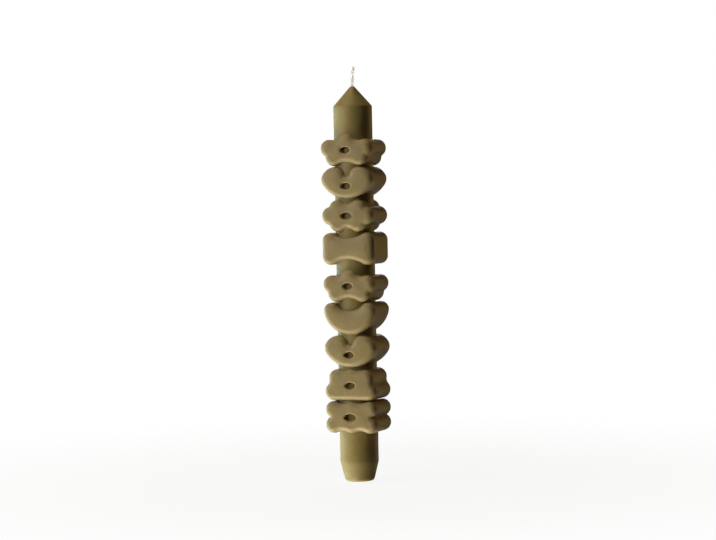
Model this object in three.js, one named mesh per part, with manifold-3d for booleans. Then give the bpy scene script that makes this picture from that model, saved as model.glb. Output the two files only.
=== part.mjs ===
// Taper candle: a round wax column with a tapered foot and a cone tip, a cotton wick that runs
// through it, and nine puffy wax forms that sit round the column one above the other.
// Millimetres, +Z up. The origin is the centre of the foot's underside, the forms' broad faces
// look along -Y and +Y, and the forms are widest along X.
import * as THREE from 'three';
import { mergeVertices } from 'three/addons/utils/BufferGeometryUtils.js';
import Module from 'manifold-3d';

// Column
const columnDiameter = 22.4;
const bareShaftLength = 15.9;
const shoulderRounding = 2;
const coneHeight = 11.1;
const tipDiameter = 2.8;
const tipRounding = 0.35;

// Foot, which narrows so that it wedges into a candlestick's cup
const footDiameter = 16.6;
const footTaperHeight = 11.5;
const footRounding = 2.2;
const taperBend = 9;

// Wick
const wickDiameter = 1.8;
const wickExposedLength = 11.5;
const wickLean = 0.9;
const wickFootRecess = 0.6;
const wickClearance = 0.3;

// Forms on the column
const formAcross = 32;
const formHeight = 18.7;
const formDepth = 28;
const formRounding = 3.6;
const formBoreClearance = 0.3;
const formSpacing = 0.2;
const lowestFormHeight = 28.4;
const groupSpacing = 2.6;
const lowerGroup = [blossom, cloud, heart, moon, star];
const upperGroup = [bow, flower, heart, star];

// Eyelets moulded through the broad faces of some forms
const eyeletFlare = 1;

// How finely round stretches are drawn
const arcStep = THREE.MathUtils.degToRad(25);
const longestFacet = 4;
const columnSides = 48;
const boreSides = 40;
const eyeletSides = 16;
const flareSteps = 3;
const wickSides = 8;
const wickSteps = 60;
const edgeSteps = 3;
const weldDistance = 1e-4;
const tiny = 1e-6;

const columnRadius = columnDiameter / 2;
const wickRadius = wickDiameter / 2;
const channelRadius = wickRadius + wickClearance;
const formPitch = formHeight + formSpacing;
const upperGroupHeight = lowestFormHeight + lowerGroup.length * formPitch - formSpacing + groupSpacing;
const stackTop = upperGroupHeight + upperGroup.length * formPitch - formSpacing;
const shoulderHeight = stackTop + bareShaftLength;
const tipHeight = shoulderHeight + coneHeight;
const halfAcross = formAcross / 2;
const halfHeight = formHeight / 2;
const halfDepth = formDepth / 2;

const waxMaterial = (name) => {
  const material = new THREE.MeshStandardMaterial({ color: 0xa89a70, roughness: 0.5, metalness: 0 });
  material.name = name;
  return material;
};

const wickMaterial = () => {
  const material = new THREE.MeshStandardMaterial({ color: 0xece6d2, roughness: 0.95, metalness: 0 });
  material.name = 'cotton_wick';
  return material;
};

// Solids: a closed three.js geometry becomes a solid that can be joined and cut, and comes back

const wasm = await Module();
wasm.setup();

function solidOf(geometry) {
  const bare = geometry.clone();
  bare.deleteAttribute('normal');
  bare.deleteAttribute('uv');
  const merged = mergeVertices(bare, weldDistance);
  return new wasm.Manifold(new wasm.Mesh({
    numProp: 3,
    vertProperties: Float32Array.from(merged.attributes.position.array),
    triVerts: Uint32Array.from(merged.index.array),
  }));
}

function geometryOf(solid) {
  const mesh = solid.getMesh();
  const geometry = new THREE.BufferGeometry();
  geometry.setAttribute('position', new THREE.BufferAttribute(mesh.vertProperties, 3));
  geometry.setIndex(new THREE.BufferAttribute(mesh.triVerts, 1));
  geometry.computeVertexNormals();
  return geometry;
}

// Outlines: lobes of one radius, counter-clockwise, each joined to the next by one tangent arc

// Signed radius of the joining arc. Its middle stands `reach` off the line between two lobe
// centres that are `span` apart: less than the lobe radius makes a dip, more makes a bulge.
function joinRadius(lobe, span, reach) {
  return (reach * reach + span * span / 4 - lobe * lobe) / (2 * (reach - lobe));
}

// A dip can't go below the place where two close lobes already cross.
function possibleReach(lobe, span, reach) {
  const crossing = Math.sqrt(Math.max(0, lobe * lobe - span * span / 4));
  const leastDip = 0.2;
  return crossing > 0 ? Math.max(reach, crossing + leastDip) : reach;
}

function joins(form) {
  return form.lobes.map((start, i) => {
    const end = form.lobes[(i + 1) % form.lobes.length];
    const along = new THREE.Vector2(end.x - start.x, end.z - start.z);
    const span = along.length();
    const outward = new THREE.Vector2(along.y, -along.x).normalize();
    const reach = possibleReach(form.lobe, span, start.reach);
    if (Math.abs(reach - form.lobe) < tiny) {
      return { radius: 0, from: outward.angle(), to: outward.angle() };
    }
    const radius = joinRadius(form.lobe, span, reach);
    const offset = reach - radius;
    const x = (start.x + end.x) / 2 + outward.x * offset;
    const z = (start.z + end.z) / 2 + outward.y * offset;
    const side = Math.sign(radius);
    const from = Math.atan2(side * (start.z - z), side * (start.x - x));
    const to = Math.atan2(side * (end.z - z), side * (end.x - x));
    return { x, z, radius, from, to };
  });
}

const turn = 2 * Math.PI;
const positiveTurn = (angle) => THREE.MathUtils.euclideanModulo(angle, turn);

function facetCount(radius, sweep) {
  const facets = Math.max(Math.abs(sweep) / arcStep, Math.abs(sweep * radius) / longestFacet);
  return Math.max(1, Math.ceil(facets - tiny));
}

const pointOn = (x, z, radius, angle) => (
  new THREE.Vector2(x + radius * Math.cos(angle), z + radius * Math.sin(angle)));

// Points inside an arc. They stand a little past the middle of their facets, so that the points
// of a mirrored outline never fall in one line, where a flat face can't be cut into triangles.
function pointsWithin(x, z, radius, from, sweep, inset) {
  const count = facetCount(radius, sweep);
  const pastStart = 0.63;
  return Array.from({ length: count }, (unused, i) => (
    pointOn(x, z, radius - inset, from + sweep * (i + pastStart) / count)));
}

// The outline drawn in by `inset`: every arc keeps its centre and its number of points.
function outline(form, inset) {
  const arcs = joins(form);
  return form.lobes.flatMap(({ x, z }, i) => {
    const before = arcs[(i + arcs.length - 1) % arcs.length];
    const after = arcs[i];
    const round = pointsWithin(x, z, form.lobe, before.to, positiveTurn(after.from - before.to), inset);
    if (after.radius === 0) {
      return round;
    }
    const sweep = positiveTurn(after.to - after.from) - (after.radius < 0 ? turn : 0);
    return [...round, ...pointsWithin(after.x, after.z, after.radius, after.from, sweep, inset)];
  });
}

// Edges can be rounded almost as far as the smallest circle that fits inside the outline.
function possibleRounding(form) {
  const points = outline(form, 0);
  const inscribed = points.flatMap((point, i) => {
    const before = point.clone().sub(points[(i + points.length - 1) % points.length]).normalize();
    const after = points[(i + 1) % points.length].clone().sub(point).normalize();
    const inward = new THREE.Vector2(-before.y - after.y, before.x + after.x).normalize();
    return points.map((other) => {
      const across = other.clone().sub(point);
      const depth = across.dot(inward);
      return depth > tiny ? across.lengthSq() / (2 * depth) : Infinity;
    });
  });
  const shareOfCircle = 0.95;
  return Math.min(formRounding, shareOfCircle * Math.min(...inscribed));
}

// Lobes listed from the middle of the top down the left side are repeated up the right side.
function mirrored(left, topReach = 0) {
  const right = left.map((lobe, i) => ({ ...lobe, x: -lobe.x, reach: i ? left[i - 1].reach : topReach }));
  return [...left, ...right.reverse().filter((lobe) => Math.abs(lobe.x) > tiny)];
}

// Forms: each is generic and fits the same box, which its outermost lobes touch

const at = (x, z, reach) => ({ x, z, reach });
const touching = (lobe) => ({ side: halfAcross - lobe, top: halfHeight - lobe });

function blossom() {
  const lobe = 5;
  const { side, top } = touching(lobe);
  const petalDip = 3.8;
  const sideDip = 0.9;
  return {
    name: 'blossom',
    lobe,
    lobes: mirrored([
      at(0, top, petalDip),
      at(-side, top, sideDip),
      at(-side, -top, petalDip),
      at(0, -top, petalDip),
    ]),
    eyelet: { x: 0, z: 0, width: 6.8, height: 3.4 },
  };
}

function cloud() {
  const lobe = 5.2;
  const { side, top } = touching(lobe);
  const rightPuff = { x: 8.6, z: 3.4 };
  const middlePuffX = 0.4;
  const leftPuff = { x: -8.4, z: 3.6 };
  const puffDip = 4.5;
  const baseDip = 4.3;
  return {
    name: 'cloud',
    lobe,
    lobes: [
      at(side, -top, baseDip),
      at(rightPuff.x, rightPuff.z, puffDip),
      at(middlePuffX, top, puffDip),
      at(leftPuff.x, leftPuff.z, baseDip),
      at(-side, -top, lobe),
    ],
    eyelet: { x: 0.3, z: -0.6, width: 6, height: 3 },
  };
}

function heart() {
  const lobe = 5.6;
  const { side, top } = touching(lobe);
  const crownX = 6.9;
  const cheekZ = 2;
  const shoulderBulge = lobe + 0.6;
  const sideBulge = lobe + 1.5;
  const cleft = 0.4;
  return {
    name: 'heart',
    lobe,
    lobes: mirrored([
      at(-crownX, top, shoulderBulge),
      at(-side, cheekZ, sideBulge),
      at(0, -top, sideBulge),
    ], cleft),
    eyelet: { x: 0, z: -1.9, width: 5.8, height: 2.8 },
  };
}

function moon() {
  const lobe = 4.8;
  const { side, top } = touching(lobe);
  const hollow = 0.2;
  return {
    name: 'moon',
    lobe,
    lobes: mirrored([at(-side, top, top + halfHeight)], hollow),
  };
}

function star() {
  const lobe = 5.2;
  const { side, top } = touching(lobe);
  const armZ = 0.9;
  const legX = 7.9;
  const tipDip = 3.4;
  const sideDip = 4;
  const legDip = 3.2;
  return {
    name: 'star',
    lobe,
    lobes: mirrored([at(0, top, tipDip), at(-side, armZ, sideDip), at(-legX, -top, legDip)]),
    eyelet: { x: 0, z: -0.2, width: 5.6, height: 3 },
  };
}

function bow() {
  const lobe = 4.8;
  const { side, top } = touching(lobe);
  const waist = 1.8;
  return {
    name: 'bow',
    lobe,
    lobes: mirrored([at(-side, top, lobe), at(-side, -top, waist)], waist),
  };
}

function flower() {
  const lobe = 5.4;
  const { side, top } = touching(lobe);
  const petalX = 6.1;
  const sideDip = 4.6;
  const middleDip = 3.4;
  return {
    name: 'flower',
    lobe,
    lobes: mirrored([
      at(-petalX, top, sideDip),
      at(-side, 0, sideDip),
      at(-petalX, -top, middleDip),
    ], middleDip),
    eyelet: { x: 0, z: 0, width: 6.4, height: 3 },
  };
}

// The cutter for an eyelet: a neck through the whole form that flares out to both broad faces
function eyeletCutter({ x, z, width, height }) {
  const neck = width / 2;
  const proud = 1;
  const crossing = 0.05;
  const flare = Array.from({ length: flareSteps + 1 }, (unused, i) => {
    const angle = i / flareSteps * Math.PI / 2;
    const radius = neck + eyeletFlare * (1 - Math.cos(angle));
    return new THREE.Vector2(radius, halfDepth + crossing - eyeletFlare * (1 - Math.sin(angle)));
  });
  const rim = neck + eyeletFlare;
  const top = halfDepth + proud;
  const upper = [...flare, new THREE.Vector2(rim, top), new THREE.Vector2(0, top)];
  const lower = upper.map((point) => new THREE.Vector2(point.x, -point.y)).reverse();
  const geometry = new THREE.LatheGeometry([...lower, ...upper], eyeletSides);
  const heightAtRim = (height / 2 + eyeletFlare) / rim;
  geometry.scale(1, 1, heightAtRim);
  geometry.translate(x, 0, z);
  return solidOf(geometry);
}

function columnCutter() {
  const radius = columnRadius + formBoreClearance;
  const geometry = new THREE.CylinderGeometry(radius, radius, 2 * formHeight, boreSides);
  geometry.rotateX(Math.PI / 2);
  return solidOf(geometry);
}

// A closed body through rings of as many points each, from the front (-Y) to the back
function loft(rings, depths) {
  const count = rings[0].length;
  const positions = rings.flatMap((ring, j) => ring.flatMap((point) => [point.x, depths[j], point.y]));
  const sides = rings.slice(1).flatMap((unused, j) => rings[0].flatMap((alsoUnused, k) => {
    const here = j * count + k;
    const next = j * count + (k + 1) % count;
    return [here, here + count, next, next, here + count, next + count];
  }));
  const front = THREE.ShapeUtils.triangulateShape(rings[0], []).flat();
  const lastRing = (rings.length - 1) * count;
  const back = THREE.ShapeUtils.triangulateShape(rings.at(-1), []).flat().reverse();
  const geometry = new THREE.BufferGeometry();
  geometry.setAttribute('position', new THREE.Float32BufferAttribute(positions, 3));
  geometry.setIndex([...front, ...sides, ...back.map((index) => index + lastRing)]);
  return geometry;
}

// A puffy form: its outline drawn out front to back with rounded edges, bored for the column
function formGeometry(form) {
  const rounding = possibleRounding(form);
  const steps = Array.from({ length: edgeSteps + 1 }, (unused, i) => i / edgeSteps * Math.PI / 2);
  const insets = steps.map((angle) => rounding * (1 - Math.sin(angle)));
  const depths = steps.map((angle) => rounding * (1 - Math.cos(angle)) - halfDepth);
  const rings = insets.map((inset) => outline(form, inset));
  const body = loft([...rings, ...rings.toReversed()], [...depths, ...depths.toReversed().map((y) => -y)]);
  const bored = solidOf(body).subtract(columnCutter());
  return geometryOf(form.eyelet ? bored.subtract(eyeletCutter(form.eyelet)) : bored);
}

// Profile corners, each with its own rounding, become one line of points round the lathe axis
function roundedProfile(corners) {
  return corners.flatMap(({ r, z, rounding = 0 }, i) => {
    const corner = new THREE.Vector2(r, z);
    if (rounding === 0) {
      return [corner];
    }
    const before = new THREE.Vector2(corners[i - 1].r, corners[i - 1].z).sub(corner).normalize();
    const after = new THREE.Vector2(corners[i + 1].r, corners[i + 1].z).sub(corner).normalize();
    const half = before.angleTo(after) / 2;
    const setback = rounding / Math.tan(half);
    const bisector = before.clone().add(after).normalize();
    const centre = corner.clone().addScaledVector(bisector, rounding / Math.sin(half));
    const start = corner.clone().addScaledVector(before, setback).sub(centre);
    const end = corner.clone().addScaledVector(after, setback).sub(centre);
    const sweep = Math.atan2(start.cross(end), start.dot(end));
    const count = facetCount(rounding, sweep);
    return Array.from({ length: count + 1 }, (unused, step) => (
      pointOn(centre.x, centre.y, rounding, start.angle() + sweep * step / count)));
  });
}

// The column is turned round its axis and stays open along it, where the wick runs
function columnGeometry() {
  const profile = roundedProfile([
    { r: channelRadius, z: 0 },
    { r: footDiameter / 2, z: 0, rounding: footRounding },
    { r: columnRadius, z: footTaperHeight, rounding: taperBend },
    { r: columnRadius, z: shoulderHeight, rounding: shoulderRounding },
    { r: tipDiameter / 2, z: tipHeight, rounding: tipRounding },
    { r: channelRadius, z: tipHeight },
  ]);
  return new THREE.LatheGeometry([...profile, profile[0]], columnSides).rotateX(Math.PI / 2);
}

// The wick stands straight in its channel and leans a little above the tip
function wickGeometry() {
  const straightTop = new THREE.Vector3(0, 0, tipHeight + wickDiameter);
  const route = new THREE.CurvePath();
  route.add(new THREE.LineCurve3(new THREE.Vector3(0, 0, wickFootRecess), straightTop));
  route.add(new THREE.QuadraticBezierCurve3(
    straightTop,
    new THREE.Vector3(0, 0, tipHeight + wickExposedLength / 2),
    new THREE.Vector3(wickLean, 0, tipHeight + wickExposedLength),
  ));
  const circle = new THREE.Path().absarc(0, 0, wickRadius, 0, turn);
  const section = new THREE.Shape(circle.getPoints(wickSides / 2));
  return new THREE.ExtrudeGeometry(section, { extrudePath: route, steps: wickSteps });
}

function addPiece(parent, name, geometry, material, height = 0) {
  const mesh = new THREE.Mesh(geometry, material);
  mesh.name = name;
  mesh.position.z = height;
  parent.add(mesh);
}

const candle = new THREE.Group();
addPiece(candle, 'wax_column', columnGeometry(), waxMaterial('column_wax'));
addPiece(candle, 'wick', wickGeometry(), wickMaterial());

function addGroup(group, groupHeight, formsBelow) {
  group.forEach((draw, i) => {
    const form = draw();
    const name = `form_${formsBelow + i + 1}_${form.name}`;
    const middle = groupHeight + halfHeight + i * formPitch;
    addPiece(candle, name, formGeometry(form), waxMaterial('form_wax'), middle);
  });
}

addGroup(lowerGroup, lowestFormHeight, 0);
addGroup(upperGroup, upperGroupHeight, lowerGroup.length);

export default candle;
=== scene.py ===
"""Looks of a taper candle: a dyed wax column, nine puffy wax forms round it and a cotton wick.

Every length is in metres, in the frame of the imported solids: +Z up, the origin in the middle of
the foot's underside, the forms' broad faces towards -Y and +Y and the forms widest along X.
"""
import logging
import math
from collections.abc import Mapping, Sequence
from dataclasses import dataclass
from enum import Enum

import bmesh
import bpy
import numpy as np
from mathutils import Matrix, Vector, noise
from mathutils.geometry import delaunay_2d_cdt


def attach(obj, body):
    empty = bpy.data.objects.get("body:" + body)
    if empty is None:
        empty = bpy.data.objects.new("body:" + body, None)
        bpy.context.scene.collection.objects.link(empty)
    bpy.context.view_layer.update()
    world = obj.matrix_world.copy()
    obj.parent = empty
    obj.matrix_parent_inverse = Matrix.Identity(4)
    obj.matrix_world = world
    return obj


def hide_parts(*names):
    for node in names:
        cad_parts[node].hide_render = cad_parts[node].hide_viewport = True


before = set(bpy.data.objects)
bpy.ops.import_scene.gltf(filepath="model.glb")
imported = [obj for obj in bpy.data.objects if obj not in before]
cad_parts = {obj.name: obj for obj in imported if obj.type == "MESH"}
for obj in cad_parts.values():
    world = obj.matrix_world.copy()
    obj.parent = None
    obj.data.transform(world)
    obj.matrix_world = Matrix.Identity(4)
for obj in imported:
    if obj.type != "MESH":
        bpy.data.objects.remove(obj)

MM = 0.001
TURN = 2 * math.pi
QUARTER = math.pi / 2
ARC_STEP = math.radians(9)
NEGLIGIBLE = 1e-3 * MM
BODY = "root"

Range = tuple[float, float]
Triple = tuple[float, float, float]
Colour = Triple
log = logging.getLogger("taper_candle")


# Materials


class Signal:
    """A value that varies over a surface. Arithmetic on it adds Math nodes."""

    def __init__(self, recipe: "Recipe", socket: bpy.types.NodeSocket | None) -> None:
        """Wrap one output socket of the recipe's nodes."""
        self.recipe = recipe
        self.socket = socket

    def maths(self, operation: str, *terms: "Signal | float") -> "Signal":
        """Add one Math node.

        Args:
            operation: The Math node's operation.
            terms: What the node works on, in the order of its sockets.

        Returns:
            The node's result.
        """
        return self.recipe.add("ShaderNodeMath", {"operation": operation}, dict(enumerate(terms)))

    def __add__(self, other: "Signal | float") -> "Signal":
        """Add on the left."""
        return self.maths("ADD", self, other)

    def __radd__(self, other: "Signal | float") -> "Signal":
        """Add on the right."""
        return self.maths("ADD", other, self)

    def __sub__(self, other: "Signal | float") -> "Signal":
        """Subtract from this."""
        return self.maths("SUBTRACT", self, other)

    def __rsub__(self, other: "Signal | float") -> "Signal":
        """Subtract this from the other."""
        return self.maths("SUBTRACT", other, self)

    def __mul__(self, other: "Signal | float") -> "Signal":
        """Multiply on the left."""
        return self.maths("MULTIPLY", self, other)

    def __rmul__(self, other: "Signal | float") -> "Signal":
        """Multiply on the right."""
        return self.maths("MULTIPLY", other, self)

    def larger(self, other: "Signal | float") -> "Signal":
        """Return the larger of the two."""
        return self.maths("MAXIMUM", self, other)

    def rise(self, start: float, end: float) -> "Signal":
        """Rise smoothly from 0 to 1.

        Args:
            start: The value at which the result is still 0.
            end: The value at which the result has reached 1.

        Returns:
            The eased share between the two.
        """
        settings = {"interpolation_type": "SMOOTHSTEP"}
        return self.recipe.add("ShaderNodeMapRange", settings, {0: self, 1: start, 2: end})

    def spread(self, edge: float) -> "Signal":
        """Rise from 0 to 1 within that distance of one half."""
        return self.rise(0.5 - edge, 0.5 + edge)


Value = Signal | float | Sequence[float]


class Recipe:
    """The nodes of one material, or of the world."""

    def __init__(self, owner: bpy.types.Material | bpy.types.World) -> None:
        """Empty the owner's node tree.

        Args:
            owner: The material or world that the nodes are for.
        """
        owner.use_nodes = True
        self.tree = owner.node_tree
        self.tree.nodes.clear()

    def add(self, kind: str, settings: Mapping[str, object] | None = None,
            inputs: Mapping[str | int, Value] | None = None, output: str | int = 0) -> Signal:
        """Add one node.

        Args:
            kind: The node's type.
            settings: What is set on the node itself, before its sockets.
            inputs: Values or links of its sockets, by name or number.
            output: The socket to give back, by name or number.

        Returns:
            The chosen output, which is empty for a node that ends the recipe.
        """
        node = self.tree.nodes.new(kind)
        for name, value in (settings or {}).items():
            setattr(node, name, value)
        for name, value in (inputs or {}).items():
            socket = node.inputs[name]
            if isinstance(value, Signal):
                self.tree.links.new(value.socket, socket)
            elif socket.type == "RGBA":
                socket.default_value = (*value, 1)
            else:
                socket.default_value = value
        return Signal(self, node.outputs[output] if node.outputs else None)

    def millimetres(self) -> Signal:
        """Return the place on the piece, in millimetres in the candle's frame."""
        place = self.add("ShaderNodeTexCoord", output="Object")
        return self.add("ShaderNodeVectorMath", {"operation": "SCALE"}, {0: place, "Scale": 1 / MM})

    def height(self, place: Signal) -> Signal:
        """Return how high a place is."""
        return self.add("ShaderNodeSeparateXYZ", None, {0: place}, output="Z")

    def stretched(self, place: Signal, by: Triple) -> Signal:
        """Scale a place along each axis. Noise drawn there is long where the scale is small."""
        return self.add("ShaderNodeVectorMath", {"operation": "MULTIPLY"}, {0: place, 1: by})

    def cloud(self, place: Signal, size: float, detail: float = 2.0) -> Signal:
        """Draw soft noise.

        Args:
            place: Where on the piece, in millimetres.
            size: How far apart its patches are, in millimetres.
            detail: How many finer layers lie on it.

        Returns:
            Noise round one half.
        """
        inputs = {"Vector": place, "Scale": 1 / size, "Detail": detail, "Roughness": 0.5}
        return self.add("ShaderNodeTexNoise", None, inputs)

    def blend(self, share: Signal | float, low: Signal | Colour, high: Signal | Colour) -> Signal:
        """Mix two colours.

        Args:
            share: How much of the second colour there is.
            low: The colour where share is 0.
            high: The colour where share is 1.

        Returns:
            The mixed colour.
        """
        inputs = {"Factor": share, 6: low, 7: high}
        return self.add("ShaderNodeMix", {"data_type": "RGBA"}, inputs, output=2)

    def bump(self, height: Signal, depth: float) -> Signal:
        """Turn a height into a surface normal.

        Args:
            height: The relief, where 1 is its full height.
            depth: That full height, in metres.

        Returns:
            The bent normal.
        """
        return self.add("ShaderNodeBump", None, {"Distance": depth, "Height": height})


@dataclass(frozen=True)
class WaxFinish:
    """Dyed poured wax: satin, faintly see-through, softly clouded, with a few pinholes and a painted
    highlight along its rounded rims.
    """

    name: str
    body: Colour = (0.390, 0.304, 0.112)
    pale: Colour = (0.450, 0.364, 0.150)
    deep: Colour = (0.362, 0.276, 0.092)
    cloud_size: float = 13.0
    cloud_edge: float = 0.2
    mottle_size: float = 2.4
    mottle_edge: float = 0.25
    mottle_share: float = 0.35
    # How strongly the rounded rims are painted pale: a painted highlight, not a real change in the
    # wax.
    painted_rim_highlight_share: float = 0.6
    tinted_tip: bool = False
    tip_tint: Colour = (0.37, 0.27, 0.145)
    tip_share: float = 0.8
    tip_start: float = 222.0
    tip_end: float = 231.0
    roughness: float = 0.46
    roughness_spread: float = 0.25
    ior: float = 1.44
    see_through: float = 0.7
    light_reach: Colour = (1.0, 0.5, 0.12)
    reach_length: float = 2.0 * MM
    relief_depth: float = 0.06 * MM
    grain_size: float = 0.55
    grain_share: float = 0.3
    pinhole_spacing: float = 4.2
    pinhole_radius: float = 0.035
    pinhole_depth: float = 0.5
    ring_marks: float = 0.0
    ring_size: float = 1.3
    ring_stretch: Triple = (0.03, 0.03, 1.0)

    def colour(self, recipe: Recipe, place: Signal) -> Signal:
        """Cloud the dye, paint a pale highlight along the rounded rims and warm the tip.

        Args:
            recipe: The material's nodes.
            place: Where on the piece, in millimetres.

        Returns:
            The wax's colour.
        """
        clouds = recipe.cloud(place, self.cloud_size).spread(self.cloud_edge)
        mottle = recipe.cloud(place, self.mottle_size, detail=3.0).spread(self.mottle_edge)
        base = recipe.blend(clouds, self.deep, self.body)
        base = recipe.blend(mottle * self.mottle_share, base, self.pale)
        # Painted highlight: the rounded rims and eyelet flares are blended towards the pale colour.
        rim = recipe.add("ShaderNodeAttribute", {"attribute_name": "rim"}, output="Fac")
        base = recipe.blend(rim * self.painted_rim_highlight_share, base, self.pale)
        if not self.tinted_tip:
            return base
        tip = recipe.height(place).rise(self.tip_start, self.tip_end)
        return recipe.blend(tip * self.tip_share, base, self.tip_tint)

    def relief(self, recipe: Recipe, place: Signal) -> Signal:
        """Add the skin of cooled wax: fine grain, sparse pinholes and, if wanted, level ring marks.

        Args:
            recipe: The material's nodes.
            place: Where on the piece, in millimetres.

        Returns:
            The height of the surface, where 1 is the highest.
        """
        grain = recipe.cloud(place, self.grain_size, detail=3.0)
        swell = recipe.cloud(place, self.mottle_size)
        inputs = {"Vector": place, "Scale": 1 / self.pinhole_spacing, "Randomness": 1.0}
        away = recipe.add("ShaderNodeTexVoronoi", None, inputs, output="Distance")
        pinholes = away.rise(self.pinhole_radius, 2 * self.pinhole_radius)
        uneven = grain * self.grain_share + swell * (1 - self.grain_share)
        skin = uneven * (pinholes * self.pinhole_depth + (1 - self.pinhole_depth))
        if self.ring_marks == 0:
            return skin
        rows = recipe.stretched(place, self.ring_stretch)
        return skin + recipe.cloud(rows, self.ring_size, detail=1.0) * self.ring_marks

    def material(self) -> bpy.types.Material:
        """Make the material.

        Returns:
            The wax, ready for a mesh.
        """
        material = bpy.data.materials.new(self.name)
        recipe = Recipe(material)
        place = recipe.millimetres()
        haze = recipe.cloud(place, self.cloud_size / 2, detail=3.0)
        shader = recipe.add("ShaderNodeBsdfPrincipled", None, {
            "Base Color": self.colour(recipe, place),
            "Roughness": self.roughness + (haze - 0.5) * self.roughness_spread,
            "IOR": self.ior,
            "Subsurface Weight": self.see_through,
            "Subsurface Radius": self.light_reach,
            "Subsurface Scale": self.reach_length,
            "Normal": recipe.bump(self.relief(recipe, place), self.relief_depth),
        })
        recipe.add("ShaderNodeOutputMaterial", None, {"Surface": shader})
        return material


COLUMN_WAX = WaxFinish("column_wax", tinted_tip=True, ring_marks=0.6)
FORM_WAX = WaxFinish("form_wax", body=(0.400, 0.312, 0.142), pale=(0.460, 0.372, 0.190),
                     deep=(0.372, 0.284, 0.122))


@dataclass(frozen=True)
class CottonFinish:
    """Unburnt cotton yarn, its foot soaked with the candle's own wax."""

    name: str
    clean: Colour = (0.90, 0.865, 0.825)
    shaded: Colour = (0.83, 0.785, 0.735)
    soaked: Colour = (0.62, 0.53, 0.38)
    soaked_below: float = 227.8
    clean_above: float = 229.4
    yarn_size: float = 0.16
    yarn_stretch: Triple = (1.0, 1.0, 0.25)
    yarn_edge: float = 0.2
    yarn_depth: float = 0.03 * MM
    soaked_roughness: float = 0.65
    clean_roughness: float = 0.9
    sheen: float = 0.3
    sheen_roughness: float = 0.5
    light_reach: Colour = (1.0, 0.92, 0.84)
    reach_length: float = 1.2 * MM
    lets_through: float = 0.7

    def material(self) -> bpy.types.Material:
        """Make the material.

        Returns:
            The cotton, ready for a mesh.
        """
        material = bpy.data.materials.new(self.name)
        recipe = Recipe(material)
        place = recipe.millimetres()
        height = recipe.height(place)
        along = recipe.stretched(place, self.yarn_stretch)
        fibres = recipe.cloud(along, self.yarn_size, detail=4.0)
        dry = recipe.blend(fibres.spread(self.yarn_edge), self.shaded, self.clean)
        dryness = height.rise(self.soaked_below, self.clean_above)
        roughening = self.clean_roughness - self.soaked_roughness
        shader = recipe.add("ShaderNodeBsdfPrincipled", None, {
            "Base Color": recipe.blend(dryness, self.soaked, dry),
            "Roughness": dryness * roughening + self.soaked_roughness,
            "Subsurface Weight": 1.0,
            "Subsurface Radius": self.light_reach,
            "Subsurface Scale": self.reach_length,
            "Transmission Weight": self.lets_through,
            "Sheen Weight": self.sheen,
            "Sheen Roughness": self.sheen_roughness,
            "Normal": recipe.bump(fibres, self.yarn_depth),
        })
        recipe.add("ShaderNodeOutputMaterial", None, {"Surface": shader})
        return material


@dataclass(frozen=True)
class FloorFinish:
    """A pale matt sweep that shows the candle's shadow and fades to white away from it."""

    name: str = "pale_floor"
    tone: Colour = (0.82, 0.81, 0.79)
    white: Colour = (1.0, 1.0, 1.0)
    whiteness_near: float = 0.9
    fade_start: float = 60.0
    fade_end: float = 420.0
    roughness: float = 0.85
    roughness_spread: float = 0.1
    grain_size: float = 3.0
    grain_depth: float = 0.02 * MM

    def material(self) -> bpy.types.Material:
        """Make the material.

        Returns:
            The floor's material.
        """
        material = bpy.data.materials.new(self.name)
        recipe = Recipe(material)
        place = recipe.millimetres()
        length = {"operation": "LENGTH"}
        away = recipe.add("ShaderNodeVectorMath", length, {0: place}, output="Value")
        fade = away.rise(self.fade_start, self.fade_end)
        whiteness = fade * (1 - self.whiteness_near) + self.whiteness_near
        grain = recipe.cloud(place, self.grain_size, detail=3.0)
        matt = recipe.add("ShaderNodeBsdfPrincipled", None, {
            "Base Color": self.tone,
            "Roughness": grain * self.roughness_spread + self.roughness,
            "Normal": recipe.bump(grain, self.grain_depth),
        })
        glow = recipe.add("ShaderNodeEmission", None, {"Color": self.white, "Strength": 1.0})
        share = whiteness * seen(recipe)
        mixed = recipe.add("ShaderNodeMixShader", None, {0: share, 1: matt, 2: glow})
        recipe.add("ShaderNodeOutputMaterial", None, {"Surface": mixed})
        return material


def seen(recipe: Recipe) -> Signal:
    """Tell rays that show the background from those that light the object.

    Args:
        recipe: The nodes to add to.

    Returns:
        1 for rays from the camera or through cotton, a share of it in the wax's sheen, or 0.
    """
    in_sheen = 0.04
    camera = recipe.add("ShaderNodeLightPath", output="Is Camera Ray")
    glossy = recipe.add("ShaderNodeLightPath", output="Is Glossy Ray")
    through = recipe.add("ShaderNodeLightPath", output="Is Transmission Ray")
    return camera.larger(glossy * in_sheen).larger(through)


# Mesh tools


def round_angles(sides: int) -> np.ndarray:
    """Return evenly spaced angles round a full turn."""
    return TURN * np.arange(sides) / sides


def bearings(angles: np.ndarray) -> np.ndarray:
    """Return the unit directions at those angles, one row each."""
    return np.column_stack((np.cos(angles), np.sin(angles)))


def enter(name: str, data: bpy.types.ID) -> bpy.types.Object:
    """Make an object and put it in the scene.

    Args:
        name: Its name.
        data: Its mesh, light or camera.

    Returns:
        The object.
    """
    made = bpy.data.objects.new(name, data)
    bpy.context.scene.collection.objects.link(made)
    return made


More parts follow.
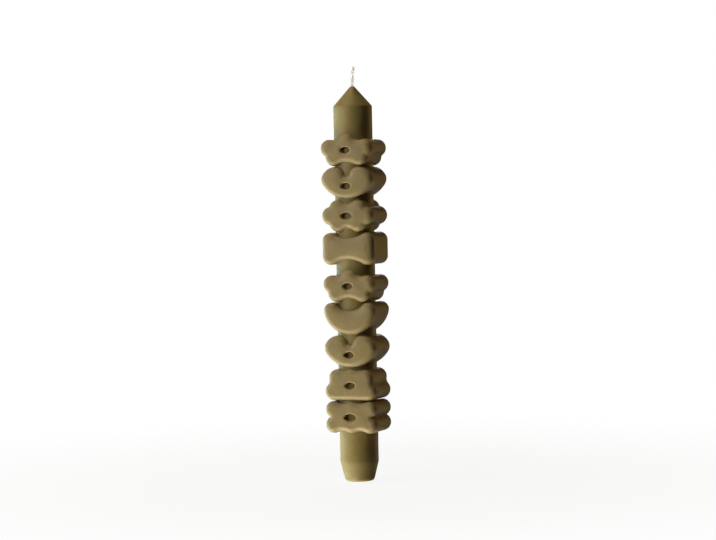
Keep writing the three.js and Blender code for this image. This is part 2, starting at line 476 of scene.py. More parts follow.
class MeshDraft:
    """Points and faces gathered for one mesh."""

    def __init__(self) -> None:
        """Start with nothing."""
        self.points: list[np.ndarray] = []
        self.rims: list[np.ndarray] = []
        self.faces: list[tuple[int, ...]] = []
        self.count = 0

    def place(self, points: np.ndarray, rim: np.ndarray | float = 0.0) -> np.ndarray:
        """Add points.

        Args:
            points: Their coordinates, one row each.
            rim: How much each belongs to a rounded rim, from 0 to 1.

        Returns:
            Their numbers in the mesh.
        """
        numbers = np.arange(self.count, self.count + len(points))
        self.points.append(points)
        self.rims.append(np.broadcast_to(rim, len(points)))
        self.count += len(points)
        return numbers

    def skirt(self, first: np.ndarray, second: np.ndarray) -> None:
        """Join two closed rings of as many points with four-sided faces."""
        ahead = np.roll(np.arange(len(first)), -1)
        self.faces += zip(first, first[ahead], second[ahead], second)

    def lid(self, ring: np.ndarray, middle: np.ndarray) -> None:
        """Close a ring with triangles that meet in a middle point."""
        (centre,) = self.place(middle[None])
        self.faces += [(a, b, centre) for a, b in zip(ring, np.roll(ring, -1))]

    def tube(self, rings: Sequence[np.ndarray], looped: bool = False) -> list[np.ndarray]:
        """Join rings into a tube.

        Args:
            rings: The points of each ring.
            looped: Whether the last ring joins the first.

        Returns:
            The numbers of each ring's points.
        """
        placed = [self.place(ring) for ring in rings]
        for first, second in zip(placed, placed[1:]):
            self.skirt(first, second)
        if looped:
            self.skirt(placed[-1], placed[0])
        return placed

    def build(self, name: str) -> bpy.types.Object:
        """Make the object, with its faces pointing out.

        Args:
            name: The object's name.

        Returns:
            The object, in the scene.
        """
        mesh = bpy.data.meshes.new(name)
        faces = [tuple(int(k) for k in face) for face in self.faces]
        mesh.from_pydata(np.concatenate(self.points).tolist(), [], faces)
        # The rim mask, along which the wax paints a pale highlight on rounded edges.
        rim = mesh.attributes.new("rim", "FLOAT", "POINT")
        rim.data.foreach_set("value", np.concatenate(self.rims).astype(np.float32))
        turning = bmesh.new()
        turning.from_mesh(mesh)
        bmesh.ops.recalc_face_normals(turning, faces=turning.faces)
        turning.to_mesh(mesh)
        turning.free()
        return enter(name, mesh)


def smooth(piece: bpy.types.Object, sharp_from: float = math.radians(40)) -> None:
    """Shade a piece smooth, apart from its sharp edges.

    Args:
        piece: The piece to shade.
        sharp_from: The angle from which an edge counts as sharp.
    """
    mesh = piece.data
    mesh.polygons.foreach_set("use_smooth", [True] * len(mesh.polygons))
    mesh.set_sharp_from_angle(angle=sharp_from)


def unevenness(points: np.ndarray, size: float, seed: float) -> np.ndarray:
    """Soft noise at points in space.

    Args:
        points: One row each, in metres.
        size: How far apart the swells are, in metres.
        seed: What sets one piece's noise apart from another's.

    Returns:
        A number from about -1 to 1 for each point.
    """
    return np.array([noise.noise(Vector(point) / size + Vector((seed, 0, 0))) for point in points])


def sink_hollows(piece: bpy.types.Object, depth: float, size: float, seed: float) -> None:
    """Sink the surface here and there, as poured wax does when it cools. The base stays level.

    Args:
        piece: The piece to change.
        depth: How far the surface sinks at most, in metres.
        size: How far apart the hollows are, in metres.
        seed: What sets one piece's noise apart from another's.
    """
    base_height = 1 * MM
    mesh = piece.data
    points = np.zeros(len(mesh.vertices) * 3, np.float32)
    normals = np.zeros_like(points)
    mesh.vertices.foreach_get("co", points)
    mesh.vertices.foreach_get("normal", normals)
    points = points.reshape(-1, 3)
    sunk = depth * (0.5 + 0.5 * unevenness(points, size, seed))
    moved = points - normals.reshape(-1, 3) * sunk[:, None]
    moved[:, 2] = np.where(points[:, 2] < base_height, points[:, 2], moved[:, 2])
    mesh.vertices.foreach_set("co", moved.ravel())
    mesh.update()


def cut(piece: bpy.types.Object, cutter: bpy.types.Object) -> None:
    """Take one solid out of another.

    Args:
        piece: The piece to change.
        cutter: The solid to take out of it, which is then removed.
    """
    modifier = piece.modifiers.new("cut", "BOOLEAN")
    modifier.operation = "DIFFERENCE"
    modifier.solver = "MANIFOLD"
    modifier.object = cutter
    evaluated = piece.evaluated_get(bpy.context.evaluated_depsgraph_get())
    before, after = piece.data, bpy.data.meshes.new_from_object(evaluated)
    piece.modifiers.clear()
    piece.data = after
    bpy.data.meshes.remove(before)
    bpy.data.objects.remove(cutter)


def dress(piece: bpy.types.Object, material: bpy.types.Material, slot: str, *nodes: str) -> None:
    """Give a piece its material, its body and the solids that it stands for.

    Args:
        piece: The finished piece.
        material: Its material.
        slot: The record's material slot. Not used.
        nodes: The solids that it replaces.
    """
    piece.data.materials.clear()
    piece.data.materials.append(material)
    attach(piece, BODY)
    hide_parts(*nodes)
    log.info("%s: %d faces", piece.name, len(piece.data.polygons))


# The forms


@dataclass(frozen=True)
class Lobe:
    """One round lobe of an outline, and how the next is joined on."""

    x: float
    z: float
    reach: float


@dataclass(frozen=True)
class Arc:
    """A stretch of a circle, turning from one angle through a sweep."""

    x: float
    z: float
    radius: float
    start: float
    sweep: float

    def points(self, inset: float) -> np.ndarray:
        """Draw the arc.

        Args:
            inset: How far inside the outline.

        Returns:
            Its points, without the last, which belongs to the next arc.
        """
        longest = 1.1 * MM
        wanted = max(abs(self.sweep) / ARC_STEP, abs(self.sweep * self.radius) / longest)
        count = max(1, math.ceil(wanted))
        angles = self.start + self.sweep * np.arange(count) / count
        return np.array((self.x, self.z)) + (self.radius - inset) * bearings(angles)


@dataclass(frozen=True)
class Eyelet:
    """A small oval opening moulded through a form's broad faces."""

    x: float
    z: float
    width: float
    height: float
    flare: float = 1 * MM

    def ring(self, opened: float, sides: int = 40) -> np.ndarray:
        """Draw the opening at one depth.

        Args:
            opened: How far the flare has opened there, from 0 at the neck to 1 at the face.
            sides: How many points the ring has.

        Returns:
            The points as X and Z.
        """
        rim = self.width / 2 + self.flare
        slimness = (self.height / 2 + self.flare) / rim
        radius = self.width / 2 + self.flare * opened
        reach = np.array((radius, radius * slimness))
        return np.array((self.x, self.z)) + reach * bearings(round_angles(sides))


class FormKind(Enum):
    """The generic shapes that the forms have."""

    BLOSSOM = "blossom"
    CLOUD = "cloud"
    HEART = "heart"
    MOON = "moon"
    STAR = "star"
    BOW = "bow"
    FLOWER = "flower"


@dataclass(frozen=True)
class FormBox:
    """The space that every form fills, and how its edges are rounded."""

    across: float = 32 * MM
    height: float = 18.7 * MM
    depth: float = 28 * MM
    rounding: float = 3.6 * MM
    skin: float = 0.03 * MM
    crown: float = 0.3 * MM


@dataclass(frozen=True)
class Outline:
    """Lobes of one radius, counter-clockwise, each joined to the next by one tangent arc."""

    lobe: float
    lobes: tuple[Lobe, ...]
    eyelet: Eyelet | None = None

    def join(self, start: Lobe, end: Lobe) -> Arc:
        """Work out the arc between two lobes.

        Its middle stands the start's reach off the line between their centres: less than the
        lobes' radius makes a dip and more makes a bulge. A dip can't go below the place where
        two close lobes already cross.

        Args:
            start: The lobe that the arc leaves.
            end: The lobe that it reaches.

        Returns:
            The arc, whose radius is negative in a dip.
        """
        along = np.array((end.x - start.x, end.z - start.z))
        span = float(np.hypot(*along))
        outward = np.array((along[1], -along[0])) / span
        crossing = math.sqrt(max(0.0, self.lobe ** 2 - span ** 2 / 4))
        least_dip = 0.2 * MM
        reach = max(start.reach, crossing + least_dip) if crossing > 0 else start.reach
        if abs(reach - self.lobe) < NEGLIGIBLE:
            angle = math.atan2(outward[1], outward[0])
            return Arc(0, 0, 0, angle, 0)
        radius = (reach ** 2 + span ** 2 / 4 - self.lobe ** 2) / (2 * (reach - self.lobe))
        x, z = np.array((start.x + end.x, start.z + end.z)) / 2 + outward * (reach - radius)
        side = math.copysign(1, radius)
        first = math.atan2(side * (start.z - z), side * (start.x - x))
        last = math.atan2(side * (end.z - z), side * (end.x - x))
        sweep = (last - first) % TURN - (TURN if radius < 0 else 0)
        return Arc(x, z, radius, first, sweep)

    def arcs(self) -> list[Arc]:
        """List the arcs of the lobes and of the joins.

        Returns:
            The arcs, in order.
        """
        joins = [self.join(lobe, self.lobes[(i + 1) % len(self.lobes)])
                 for i, lobe in enumerate(self.lobes)]
        arcs = []
        for i, lobe in enumerate(self.lobes):
            before, after = joins[i - 1], joins[i]
            start = before.start + before.sweep
            arcs.append(Arc(lobe.x, lobe.z, self.lobe, start, (after.start - start) % TURN))
            if after.radius != 0:
                arcs.append(after)
        return arcs

    def points(self, inset: float) -> np.ndarray:
        """Draw the outline.

        Args:
            inset: How far it is drawn in.

        Returns:
            Its points as X and Z, as many at every inset.
        """
        return np.concatenate([arc.points(inset) for arc in self.arcs()])


def mirrored(left: Sequence[Lobe], top_reach: float = 0.0) -> tuple[Lobe, ...]:
    """Repeat lobes on the right side.

    Args:
        left: Lobes from the middle of the top down the left side.
        top_reach: The reach of the join over the top, where no lobe is in the middle.

    Returns:
        All the lobes, counter-clockwise.
    """
    reaches = [top_reach] + [lobe.reach for lobe in left[:-1]]
    right = [Lobe(-lobe.x, lobe.z, reach) for lobe, reach in zip(left, reaches)]
    return (*left, *(lobe for lobe in reversed(right) if abs(lobe.x) > NEGLIGIBLE))


def outline_of(kind: FormKind, box: FormBox) -> Outline:
    """Draw one of the generic forms so that its outermost lobes touch the box.

    Args:
        kind: Which form.
        box: The space it fills.

    Returns:
        Its outline.
    """
    def inside(lobe: float) -> tuple[float, float, float]:
        """Return a lobe's radius in metres, and how far out and up its centre can stand."""
        radius = lobe * MM
        return radius, box.across / 2 - radius, box.height / 2 - radius

    if kind is FormKind.BLOSSOM:
        lobe, side, top = inside(5)
        dip, side_dip = 3.8 * MM, 0.9 * MM
        left = [Lobe(0, top, dip), Lobe(-side, top, side_dip),
                Lobe(-side, -top, dip), Lobe(0, -top, dip)]
        return Outline(lobe, mirrored(left), Eyelet(0, 0, 6.8 * MM, 3.4 * MM))
    if kind is FormKind.CLOUD:
        lobe, side, top = inside(5.2)
        dip, base_dip = 4.5 * MM, 4.3 * MM
        lobes = (Lobe(side, -top, base_dip), Lobe(8.6 * MM, 3.4 * MM, dip),
                 Lobe(0.4 * MM, top, dip), Lobe(-8.4 * MM, 3.6 * MM, base_dip),
                 Lobe(-side, -top, lobe))
        return Outline(lobe, lobes, Eyelet(0.3 * MM, -0.6 * MM, 6 * MM, 3 * MM))
    if kind is FormKind.HEART:
        lobe, side, top = inside(5.6)
        bulge, cleft = lobe + 1.5 * MM, 0.4 * MM
        left = [Lobe(-6.9 * MM, top, lobe + 0.6 * MM), Lobe(-side, 2 * MM, bulge),
                Lobe(0, -top, bulge)]
        return Outline(lobe, mirrored(left, cleft), Eyelet(0, -1.9 * MM, 5.8 * MM, 2.8 * MM))
    if kind is FormKind.MOON:
        lobe, side, top = inside(4.8)
        return Outline(lobe, mirrored([Lobe(-side, top, top + box.height / 2)], 0.2 * MM))
    if kind is FormKind.STAR:
        lobe, side, top = inside(5.2)
        left = [Lobe(0, top, 3.4 * MM), Lobe(-side, 0.9 * MM, 4 * MM),
                Lobe(-7.9 * MM, -top, 3.2 * MM)]
        return Outline(lobe, mirrored(left), Eyelet(0, -0.2 * MM, 5.6 * MM, 3 * MM))
    if kind is FormKind.BOW:
        lobe, side, top = inside(4.8)
        waist = 1.8 * MM
        return Outline(lobe, mirrored([Lobe(-side, top, lobe), Lobe(-side, -top, waist)], waist))
    lobe, side, top = inside(5.4)
    dip, middle_dip = 4.6 * MM, 3.4 * MM
    left = [Lobe(-6.1 * MM, top, dip), Lobe(-side, 0, dip), Lobe(-6.1 * MM, -top, middle_dip)]
    return Outline(lobe, mirrored(left, middle_dip), Eyelet(0, 0, 6.4 * MM, 3 * MM))


def within(points: np.ndarray, ring: np.ndarray) -> np.ndarray:
    """Tell which points lie inside a closed ring.

    Args:
        points: The points, one row each.
        ring: The ring's points, in order.

    Returns:
        True for each point inside.
    """
    x, z = points[:, 0, None], points[:, 1, None]
    x0, z0 = ring.T
    x1, z1 = np.roll(ring, -1, axis=0).T
    spans = (z0 > z) != (z1 > z)
    rise = np.where(z1 == z0, 1.0, z1 - z0)
    crossed = spans & (x < x0 + (z - z0) * (x1 - x0) / rise)
    return crossed.sum(axis=1) % 2 == 1


class Cushion:
    """A broad face of a form: a fine triangle mesh between its border and its eyelet, crowned."""

    def __init__(self, border: np.ndarray, hole: np.ndarray | None, spacing: float) -> None:
        """Cut the face into triangles.

        Args:
            border: The face's outer ring.
            hole: The ring round its eyelet, if it has one.
            spacing: How far apart the points inside are.
        """
        rings = [border] if hole is None else [border, hole]
        self.border_count = len(border)
        self.ring_count = sum(map(len, rings))
        self.points = np.concatenate([*rings, self._scatter(rings, spacing)])
        self.triangles = self._triangles(rings)

    @staticmethod
    def _scatter(rings: Sequence[np.ndarray], spacing: float) -> np.ndarray:
        """Spread points over the face, clear of its rings.

        Args:
            rings: The border, and the ring round the eyelet if there is one.
            spacing: How far apart the points are.

        Returns:
            The points, one row each.
        """
        clearance = 0.6 * spacing
        low, high = rings[0].min(axis=0), rings[0].max(axis=0)
        row_height = spacing * math.sqrt(3) / 2
        xs = np.arange(low[0], high[0], spacing)
        zs = np.arange(low[1], high[1], row_height)
        grid = np.array([(x + spacing / 2 * (row % 2), z) for row, z in enumerate(zs) for x in xs])
        edges = np.concatenate(rings)
        clear = np.linalg.norm(grid[:, None] - edges[None], axis=2).min(axis=1) > clearance
        inside = within(grid, rings[0])
        for ring in rings[1:]:
            inside &= ~within(grid, ring)
        return grid[clear & inside]

    def _triangles(self, rings: Sequence[np.ndarray]) -> np.ndarray:
        """Join the points into triangles that keep to the face.

        Args:
            rings: The border, and the ring round the eyelet if there is one.

        Returns:
            The numbers of each triangle's points.
        """
        tolerance = 1e-6
        edges = []
        start = 0
        for ring in rings:
            edges += [(start + k, start + (k + 1) % len(ring)) for k in range(len(ring))]
            start += len(ring)
        flat = [Vector(point / MM) for point in self.points]
        _, _, faces, origins, *_ = delaunay_2d_cdt(flat, edges, [], 0, tolerance)
        triangles = np.array([[origins[k][0] for k in face] for face in faces])
        middles = self.points[triangles].mean(axis=1)
        kept = within(middles, rings[0])
        for ring in rings[1:]:
            kept &= ~within(middles, ring)
        return triangles[kept]

    def heights(self, crown: float) -> np.ndarray:
        """Swell the face like a cushion held at its border.

        Args:
            crown: The height at the middle of its broadest place.

        Returns:
            Each point's height over the border.
        """
        count = len(self.points)
        pull = np.zeros((count, count))
        for a, b in ((0, 1), (1, 2), (2, 0)):
            pull[self.triangles[:, a], self.triangles[:, b]] = -1
            pull[self.triangles[:, b], self.triangles[:, a]] = -1
        np.fill_diagonal(pull, -pull.sum(axis=1))
        lift = np.ones(count)
        pull[:self.border_count] = 0
        pull[range(self.border_count), range(self.border_count)] = 1
        lift[:self.border_count] = 0
        share = np.linalg.solve(pull, lift)
        share /= share.max()
        return crown * share ** 2 * (3 - 2 * share)


@dataclass(frozen=True)
class PuffyForm:
    """One form: an outline drawn out front to back with rounded edges, bored for the column."""

    node: str
    kind: FormKind
    middle: float
    bore_radius: float
    box: FormBox = FormBox()
    edge_steps: int = 8
    wall_steps: int = 14
    face_spacing: float = 1.0 * MM
    eyelet_floor: float = 3 * MM
    hollow_depth: float = 0.12 * MM
    hollow_size: float = 9 * MM
    hollow_seed: float = 100.0
    bore_sides: int = 144

    def build(self) -> bpy.types.Object:
        """Build the form's mesh.

        Returns:
            The form in its place, without a material.
        """
        outline = outline_of(self.kind, self.box)
        draft = MeshDraft()
        half = self.box.depth / 2 - self.box.skin
        rounding = self.box.rounding
        angles = QUARTER * np.arange(self.edge_steps + 1) / self.edge_steps
        insets = self.box.skin + rounding * (1 - np.sin(angles))
        depths = half - self.box.crown - rounding * (1 - np.cos(angles))
        rims = np.sin(2 * angles)
        walls = depths[-1] * (1 - 2 * np.arange(1, self.wall_steps) / self.wall_steps)
        stations = [
            *zip(insets, -depths, rims),
            *((self.box.skin, -y, 0.0) for y in walls),
            *zip(insets[::-1], depths[::-1], rims[::-1]),
        ]
        rings = [draft.place(self._in_space(outline.points(inset), y), rim)
                 for inset, y, rim in stations]
        for first, second in zip(rings, rings[1:]):
            draft.skirt(first, second)
        hole = outline.eyelet.ring(1.0) if outline.eyelet else None
        cushion = Cushion(outline.points(insets[0]), hole, self.face_spacing)
        for side, ring in ((-1, rings[0]), (1, rings[-1])):
            self._face(draft, cushion, outline.eyelet, side, ring, depths[0])
        piece = draft.build(self.node.replace("form_", "wax_form_"))
        seed = self.hollow_seed * self.middle
        sink_hollows(piece, self.hollow_depth, self.hollow_size, seed)
        cut(piece, self._bore())
        smooth(piece)
        return piece

    def _in_space(self, points: np.ndarray, y: float | np.ndarray) -> np.ndarray:
        """Place X and Z points at a depth, at the form's height."""
        depth = np.broadcast_to(y, len(points))
        return np.column_stack((points[:, 0], depth, points[:, 1] + self.middle))

    def _face(self, draft: MeshDraft, cushion: Cushion, eyelet: Eyelet | None, side: int,
              ring: np.ndarray, level: float) -> None:
        """Close one broad face and open its eyelet.

        Args:
            draft: The mesh so far.
            cushion: The face's triangles.
            eyelet: Its opening, if it has one.
            side: -1 for the front, 1 for the back.
            ring: The border's points in the mesh.
            level: The border's distance from the middle plane.
        """
        heights = cushion.heights(self.box.crown)
        inner = slice(cushion.border_count, None)
        placed = draft.place(self._in_space(cushion.points[inner], side * (level + heights[inner])))
        numbers = np.concatenate((ring, placed))
        draft.faces += [tuple(numbers[triangle]) for triangle in cushion.triangles]
        if eyelet is None:
            return
        lip = slice(cushion.border_count, cushion.ring_count)
        last = numbers[lip]
        for step in range(1, self.edge_steps + 1):
            angle = QUARTER * step / self.edge_steps
            sunk = level + heights[lip] - eyelet.flare * (1 - math.cos(angle))
            points = self._in_space(eyelet.ring(1 - math.sin(angle)), side * sunk)
            fresh = draft.place(points, math.sin(2 * angle))
            draft.skirt(last, fresh)
            last = fresh
        floor = side * (self.bore_radius - self.eyelet_floor)
        bottom = draft.place(self._in_space(eyelet.ring(0.0), floor))
        draft.skirt(last, bottom)
        draft.lid(bottom, np.array((eyelet.x, floor, eyelet.z + self.middle)))

    def _bore(self) -> bpy.types.Object:
        """Make the cutter for the column's bore.

        Returns:
            A round bar that is taller than the form.
        """
        circle = self.bore_radius * bearings(round_angles(self.bore_sides))
        draft = MeshDraft()
        levels = self.middle + self.box.height * np.array((-1, 1))
        rings = draft.tube([np.column_stack((circle, np.full(len(circle), z))) for z in levels])
        for ring, z in zip(rings, levels):
            draft.lid(ring, np.array((0, 0, z)))
        return draft.build("bore")


# The wick and the column


@dataclass(frozen=True)
class Wick:
    """The braided cotton wick: one surface on which strands cross over and under each other."""

    node: str = "wick"
    radius: float = 0.9 * MM
    foot: float = 0.6 * MM
    tip: float = 227.7 * MM
    exposed: float = 11.36 * MM
    lean: float = 0.9 * MM
    hidden: float = 2.0 * MM
    hidden_slimness: float = 0.94
    strands_each_way: int = 4
    lay: float = 5.2 * MM
    weave_depth: float = 0.11 * MM
    strand_radius: float = 0.25 * MM
    sides: int = 64
    step: float = 0.08 * MM
    fibre_count: int = 18
    fibre_seed: int = 7
    fibre_radius: float = 0.035 * MM
    fibre_steps: int = 5
    fibre_sides: int = 5
    fibre_curl: float = 0.12
    fibre_root: float = 0.8
    fibre_clearance: float = 0.05 * MM
    fibre_drops: Range = (0.3, 4.5)
    fibre_reaches: Range = (0.4, 1.0)
    fibre_spreads: Range = (0.1, 0.5)

    def centre(self, along: float) -> tuple[Vector, Vector]:
        """Find the wick's middle.

        Args:
            along: The distance above the start of the shown braid.

        Returns:
            The point, and the sideways direction there, in the plane that the wick leans in.
        """
        straight = self.hidden + 2 * self.radius
        start = self.tip - self.hidden
        if along <= straight:
            return Vector((0, 0, start + along)), Vector((1, 0, 0))
        base, top = self.tip + 2 * self.radius, self.tip + self.exposed
        pull = self.tip + self.exposed / 2
        share = min(1.0, (along - straight) / (top - base))
        x = self.lean * share ** 2
        z = base * (1 - share) ** 2 + 2 * pull * share * (1 - share) + top * share ** 2
        dx = 2 * self.lean * share
        dz = 2 * (pull - base) * (1 - share) + 2 * (top - pull) * share
        return Vector((x, 0, z)), Vector((dz, 0, -dx)).normalized()

    def around(self, along: float, angle: float, distance: float) -> np.ndarray:
        """Find a point beside the wick's middle.

        Args:
            along: The distance above the start of the shown braid.
            angle: The direction round the wick.
            distance: How far from the middle.

        Returns:
            The point.
        """
        middle, sideways = self.centre(along)
        offset = sideways * math.cos(angle) + Vector((0, 1, 0)) * math.sin(angle)
        return np.array(middle + offset * distance)

    def relief(self, along: float, angles: np.ndarray) -> np.ndarray:
        """Measure the braid's outside across one section.

        Args:
            along: The distance above the start of the shown braid.
            angles: The directions round the wick to measure in.

        Returns:
            The distance from the wick's middle in each direction.
        """
        ride = self.radius - self.strand_radius - self.weave_depth
        slant = math.hypot(1, TURN * ride / self.lay)
        turned = TURN * along / self.lay
        apart = TURN / self.strands_each_way
        radii = np.full(len(angles), ride)
        for way in (1, -1):
            aside = (angles - way * turned + apart / 2) % apart - apart / 2
            bulge = np.sqrt(np.clip(1 - (aside * ride / (self.strand_radius * slant)) ** 2, 0, None))
            weave = self.weave_depth * way * math.cos(self.strands_each_way * turned)
            strand = ride + weave + self.strand_radius * bulge
            radii = np.where(bulge > 0, np.maximum(radii, strand), radii)
        return radii

    def section(self, along: float) -> np.ndarray:
        """Draw a ring round the wick: plain where the wax hides it, woven above.

        Args:
            along: The distance above the start of the shown braid.

        Returns:
            The ring's points.
        """
        angles = round_angles(self.sides)
        plain = np.full(self.sides, self.hidden_slimness * self.radius)
        radii = plain if along < 0 else self.relief(along, angles)
        middle, sideways = self.centre(along)
        outward = np.outer(np.cos(angles), sideways) + np.outer(np.sin(angles), (0, 1, 0))
        return np.array(middle) + outward * radii[:, None]

    def build(self) -> bpy.types.Object:
        """Build the wick's mesh.

        Returns:
            The wick in its place, without a material.
        """
        draft = MeshDraft()
        below = self.foot - (self.tip - self.hidden)
        length = self.hidden + self.exposed
        steps = math.ceil(length / self.step)
        woven = [self.section(length * k / steps) for k in range(steps + 1)]
        braid = [self.section(below), self.section(-self.step), *woven]
        for rings in (braid, *self.loose_fibres()):
            placed = draft.tube(rings)
            draft.lid(placed[0], rings[0].mean(axis=0))
            draft.lid(placed[-1], rings[-1].mean(axis=0))
        piece = draft.build("braided_wick")
        smooth(piece, sharp_from=math.radians(60))
        return piece

    def loose_fibres(self) -> list[list[np.ndarray]]:
        """Let a few cut fibres stand out of the braid near its end.

        Returns:
            The rings of each fibre's thin tube.
        """
        chance = np.random.default_rng(self.fibre_seed)
        length = self.hidden + self.exposed
        highest = length - self.fibre_clearance
        fibres = []
        for _ in range(self.fibre_count):
            root = length - chance.uniform(*self.fibre_drops) * MM
            reach = chance.uniform(*self.fibre_reaches) * MM
            angle = chance.uniform(0, TURN)
            out = chance.uniform(*self.fibre_spreads) * MM
            path = [self.around(min(root + reach * k / self.fibre_steps, highest),
                                angle + self.fibre_curl * k,
                                self.radius * self.fibre_root + out * (k / self.fibre_steps) ** 2)
                    for k in range(self.fibre_steps + 1)]
            fibres.append(tube_rings(path, self.fibre_radius, self.fibre_sides))
        return fibres


def tube_rings(path: Sequence[np.ndarray], radius: float, sides: int) -> list[np.ndarray]:
    """Draw rings along a path, square to it.

    Args:
        path: The points that the tube follows.
        radius: The tube's radius.
        sides: How many points each ring has.

    Returns:
        The rings.
    """
    least_slant = 0.3
    angles = round_angles(sides)
    rings = []
    for i, point in enumerate(path):
        ahead = Vector(path[min(i + 1, len(path) - 1)] - path[max(i - 1, 0)]).normalized()
        across = ahead.cross(Vector((0, 1, 0)))
        if across.length < least_slant:
            across = ahead.cross(Vector((1, 0, 0)))
        across.normalize()
        other = np.array(ahead.cross(across))
        outward = np.outer(np.cos(angles), across) + np.outer(np.sin(angles), other)
        rings.append(point + radius * outward)
    return rings


@dataclass(frozen=True)
class Corner:
    """A corner of a turned profile, and how round it is."""

    r: float
    z: float
    rounding: float = 0.0


@dataclass(frozen=True)
class Column:
    """The wax column: a turned body with a tapered foot, a cone tip and a wick channel."""

    wick: Wick
    node: str = "wax_column"
    radius: float = 11.2 * MM
    shoulder: float = 216.6 * MM
    shoulder_rounding: float = 2.4 * MM
    tip_radius: float = 1.4 * MM
    foot_radius: float = 8.3 * MM
    foot_taper: float = 11.5 * MM
    foot_rounding: float = 2.2 * MM
    taper_bend: float = 9 * MM
    skin: float = 0.02 * MM
    sides: int = 120
    meniscus_height: float = 0.2 * MM
    meniscus_rounding: float = 0.6 * MM
    grip: float = 0.02 * MM
    mouth: float = 0.35 * MM
    mouth_rounding: float = 0.2 * MM
    longest_stretch: float = 1.6 * MM
    hollow_depth: float = 0.10 * MM
    hollow_size: float = 12 * MM
    hollow_seed: float = 3.0

    def corners(self) -> list[Corner]:
        """List the profile's corners.

        Returns:
            The corners, from the wick's foot up the outside to where the wick leaves the wax.
        """
        channel = self.wick.radius - self.grip
        return [
            Corner(channel, self.wick.foot),
            Corner(self.wick.radius + self.mouth, 0, self.mouth_rounding),
            Corner(self.foot_radius, 0, self.foot_rounding),
            Corner(self.radius - self.skin, self.foot_taper, self.taper_bend),
            Corner(self.radius - self.skin, self.shoulder, self.shoulder_rounding),
            Corner(self.tip_radius, self.wick.tip, self.meniscus_rounding),
            Corner(channel, self.wick.tip + self.meniscus_height),
        ]

    def profile(self) -> np.ndarray:
        """Round the corners and add points along the straight stretches.

        Returns:
            The profile's points as radius and height.
        """
        corners = self.corners()
        points: list[np.ndarray] = []
        for i, corner in enumerate(corners):
            here = np.array((corner.r, corner.z))
            if corner.rounding == 0:
                points.append(here[None])
                continue
            before, after = (np.array((c.r, c.z)) for c in (corners[i - 1], corners[i + 1]))
            points.append(rounded(before, here, after, corner.rounding))
        return evenly(np.concatenate(points), self.longest_stretch)

    def build(self) -> bpy.types.Object:
        """Build the column's mesh.

        Returns:
            The column in its place, without a material.
        """
        circle = bearings(round_angles(self.sides))
        rings = [np.column_stack((r * circle, np.full(self.sides, z))) for r, z in self.profile()]
        draft = MeshDraft()
        draft.tube(rings, looped=True)
        piece = draft.build("turned_column")
        sink_hollows(piece, self.hollow_depth, self.hollow_size, self.hollow_seed)
        smooth(piece)
        return piece


def rounded(before: np.ndarray, corner: np.ndarray, after: np.ndarray,
            radius: float) -> np.ndarray:
    """Round a corner of a line.

    Args:
        before: A point on the line that comes in.
        corner: The corner.
        after: A point on the line that goes out.
        radius: The arc's radius.

    Returns:
        The arc's points.
    """
    back = (before - corner) / np.linalg.norm(before - corner)
    ahead = (after - corner) / np.linalg.norm(after - corner)
    half = math.acos(np.clip(back @ ahead, -1, 1)) / 2
    setback = radius / math.tan(half)
    centre = corner + (back + ahead) / np.linalg.norm(back + ahead) * radius / math.sin(half)
    start, end = corner + back * setback - centre, corner + ahead * setback - centre
    first = math.atan2(start[1], start[0])
    sweep = math.atan2(start[0] * end[1] - start[1] * end[0], start @ end)
    count = max(2, math.ceil(abs(sweep) / ARC_STEP))
    angles = first + sweep * np.arange(count + 1) / count
    return centre + radius * bearings(angles)


def evenly(points: np.ndarray, longest: float) -> np.ndarray:
    """Add points to a line.

    Args:
        points: The line's points.
        longest: How long a stretch between two points may be.

    Returns:
        The line, with those points and the added ones.
    """
    filled = [points[:1]]
    for start, end in zip(points, points[1:]):
        count = max(1, math.ceil(np.linalg.norm(end - start) / longest))
        filled.append(start + (end - start) * np.arange(1, count + 1)[:, None] / count)
    return np.concatenate(filled)


@dataclass(frozen=True)
class FormStack:
    """The forms on the column, in a lower and an upper group."""

    column: Column
    box: FormBox = FormBox()
    lowest: float = 28.4 * MM
    spacing: float = 0.2 * MM
    group_spacing: float = 2.6 * MM
    bite: float = 0.15 * MM
    lower: tuple[FormKind, ...] = (
        FormKind.BLOSSOM, FormKind.CLOUD, FormKind.HEART, FormKind.MOON, FormKind.STAR)
    upper: tuple[FormKind, ...] = (FormKind.BOW, FormKind.FLOWER, FormKind.HEART, FormKind.STAR)

    def forms(self) -> list[PuffyForm]:
        """List the forms. Each bites a little into the column, so that no light shows between them.

        Returns:
            The forms, from the foot up.
        """
        found = []
        for i, kind in enumerate(self.lower + self.upper):
            shift = 0 if i < len(self.lower) else self.group_spacing - self.spacing
            pitch = self.box.height + self.spacing
            middle = self.lowest + self.box.height / 2 + i * pitch + shift
            bore = self.column.radius - self.bite
            found.append(PuffyForm(f"form_{i + 1}_{kind.value}", kind, middle, bore, self.box))
        return found


# The studio


@dataclass(frozen=True)
class Lamp:
    """A large soft lamp, aimed at the candle. Its angles are in degrees."""

    name: str
    azimuth: float
    elevation: float
    distance: float
    width: float
    height: float
    power: float
    tint: Colour = (1.0, 1.0, 1.0)

    def build(self, aim: Vector) -> None:
        """Set the lamp up.

        Args:
            aim: The point that it faces.
        """
        data = bpy.data.lights.new(self.name, "AREA")
        data.shape = "RECTANGLE"
        data.size = self.width
        data.size_y = self.height
        data.energy = self.power
        data.color = self.tint
        lamp = enter(self.name, data)
        back = direction(self.azimuth, self.elevation)
        lamp.location = aim + back * self.distance
        lamp.rotation_euler = back.to_track_quat("Z", "Y").to_euler()


def direction(azimuth: float, elevation: float) -> Vector:
    """Point from the candle to a place round it.

    Args:
        azimuth: Degrees from the front, -Y, towards +X.
        elevation: Degrees above the floor.

    Returns:
        The unit direction.
    """
    a, e = math.radians(azimuth), math.radians(elevation)
    return Vector((math.sin(a) * math.cos(e), -math.cos(a) * math.cos(e), math.sin(e)))


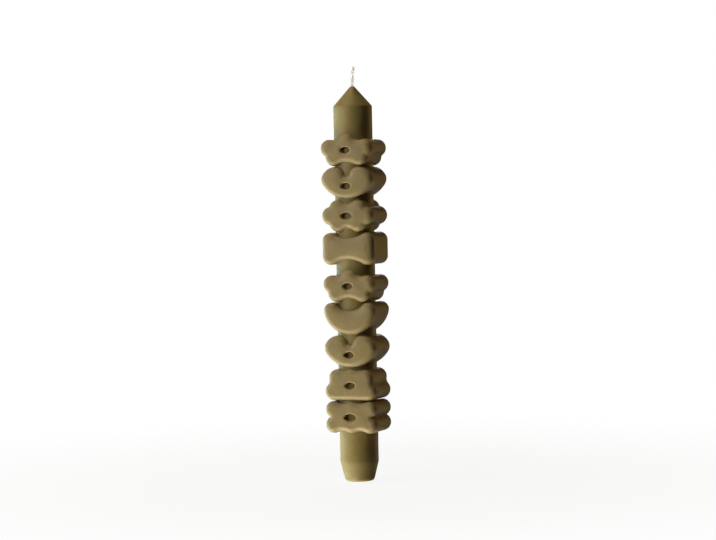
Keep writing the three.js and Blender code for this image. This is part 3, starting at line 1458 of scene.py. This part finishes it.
@dataclass(frozen=True)
class Studio:
    """The floor, the lamps, the white surroundings and the camera."""

    aim_height: float = 122 * MM
    floor_reach: float = 6.0
    camera_azimuth: float = 22.0
    camera_distance: float = 1.38
    eye_height: float = 170 * MM
    aim_right: float = 1.25 * MM
    roll: float = math.radians(1.14)
    focal_pixels: float = 2390.0
    image_width: int = 716
    sensor_width: float = 36.0
    nearest_shown: float = 10 * MM
    ambient: float = 0.004
    lamps: tuple[Lamp, ...] = (
        Lamp("side_window", -100, -26, 0.8, 0.6, 0.9, 7.2, (0.66, 0.90, 1.0)),
        Lamp("front_left", -44, 16, 0.8, 0.6, 0.5, 2.5, (0.94, 0.94, 0.96)),
        Lamp("low", -45, -60, 0.7, 0.5, 0.3, 4.3, (1.0, 0.93, 0.74)),
        Lamp("top", -40, 66, 0.8, 0.5, 0.5, 2.0, (1.0, 0.86, 0.56)),
        Lamp("warm_fill", 146, 4, 0.9, 0.3, 0.8, 1.05, (1.0, 0.66, 0.20)),
        Lamp("rear", 204, 12, 0.9, 0.4, 0.8, 2.4, (1.0, 0.96, 0.88)),
    )

    def build_floor(self) -> None:
        """Lay the floor under the candle."""
        ring = self.floor_reach * np.array(((-1, -1, 0), (1, -1, 0), (1, 1, 0), (-1, 1, 0)))
        mesh = bpy.data.meshes.new("floor")
        mesh.from_pydata(ring.tolist(), [], [(0, 1, 2, 3)])
        floor = enter("floor", mesh)
        floor.data.materials.append(FloorFinish().material())
        floor.visible_shadow = False
        floor.visible_diffuse = False

    def build_surroundings(self) -> None:
        """Show white round the candle, and light it with only a little of it."""
        world = bpy.data.worlds.new("white_surroundings")
        bpy.context.scene.world = world
        recipe = Recipe(world)
        tone = {"Color": (1.0, 1.0, 1.0)}
        dim = recipe.add("ShaderNodeBackground", None, {**tone, "Strength": self.ambient})
        white = recipe.add("ShaderNodeBackground", None, {**tone, "Strength": 1.0})
        mixed = recipe.add("ShaderNodeMixShader", None, {0: seen(recipe), 1: dim, 2: white})
        recipe.add("ShaderNodeOutputWorld", None, {"Surface": mixed})

    def build_camera(self) -> None:
        """Set the camera up where the photograph was taken from."""
        data = bpy.data.cameras.new("photo_camera")
        data.sensor_width = self.sensor_width
        data.lens = self.focal_pixels / self.image_width * self.sensor_width
        data.clip_start = self.nearest_shown
        camera = enter("photo_camera", data)
        back = direction(self.camera_azimuth, 0)
        right = direction(self.camera_azimuth + 90, 0)
        aim = Vector((0, 0, self.aim_height)) + right * self.aim_right
        camera.location = back * self.camera_distance + Vector((0, 0, self.eye_height))
        facing = (camera.location - aim).to_track_quat("Z", "Y").to_matrix()
        camera.rotation_euler = (facing @ Matrix.Rotation(-self.roll, 3, "Z")).to_euler()
        bpy.context.scene.camera = camera

    def build(self) -> None:
        """Build the whole studio."""
        self.build_floor()
        self.build_surroundings()
        self.build_camera()
        for lamp in self.lamps:
            lamp.build(Vector((0, 0, self.aim_height)))
        bpy.context.scene.view_settings.view_transform = "Standard"


def main() -> None:
    """Build the candle and its studio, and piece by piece."""
    logging.basicConfig(level=logging.INFO, format="%(name)s: %(message)s")
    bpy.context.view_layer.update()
    Studio().build()
    wick = Wick()
    column = Column(wick)
    dress(column.build(), COLUMN_WAX.material(), "column_wax", column.node)
    form_wax = FORM_WAX.material()
    for form in FormStack(column).forms():
        dress(form.build(), form_wax, "form_wax", form.node)
    dress(wick.build(), CottonFinish("cotton_wick").material(), "cotton_wick", wick.node)


if __name__ == "__main__":
    main()
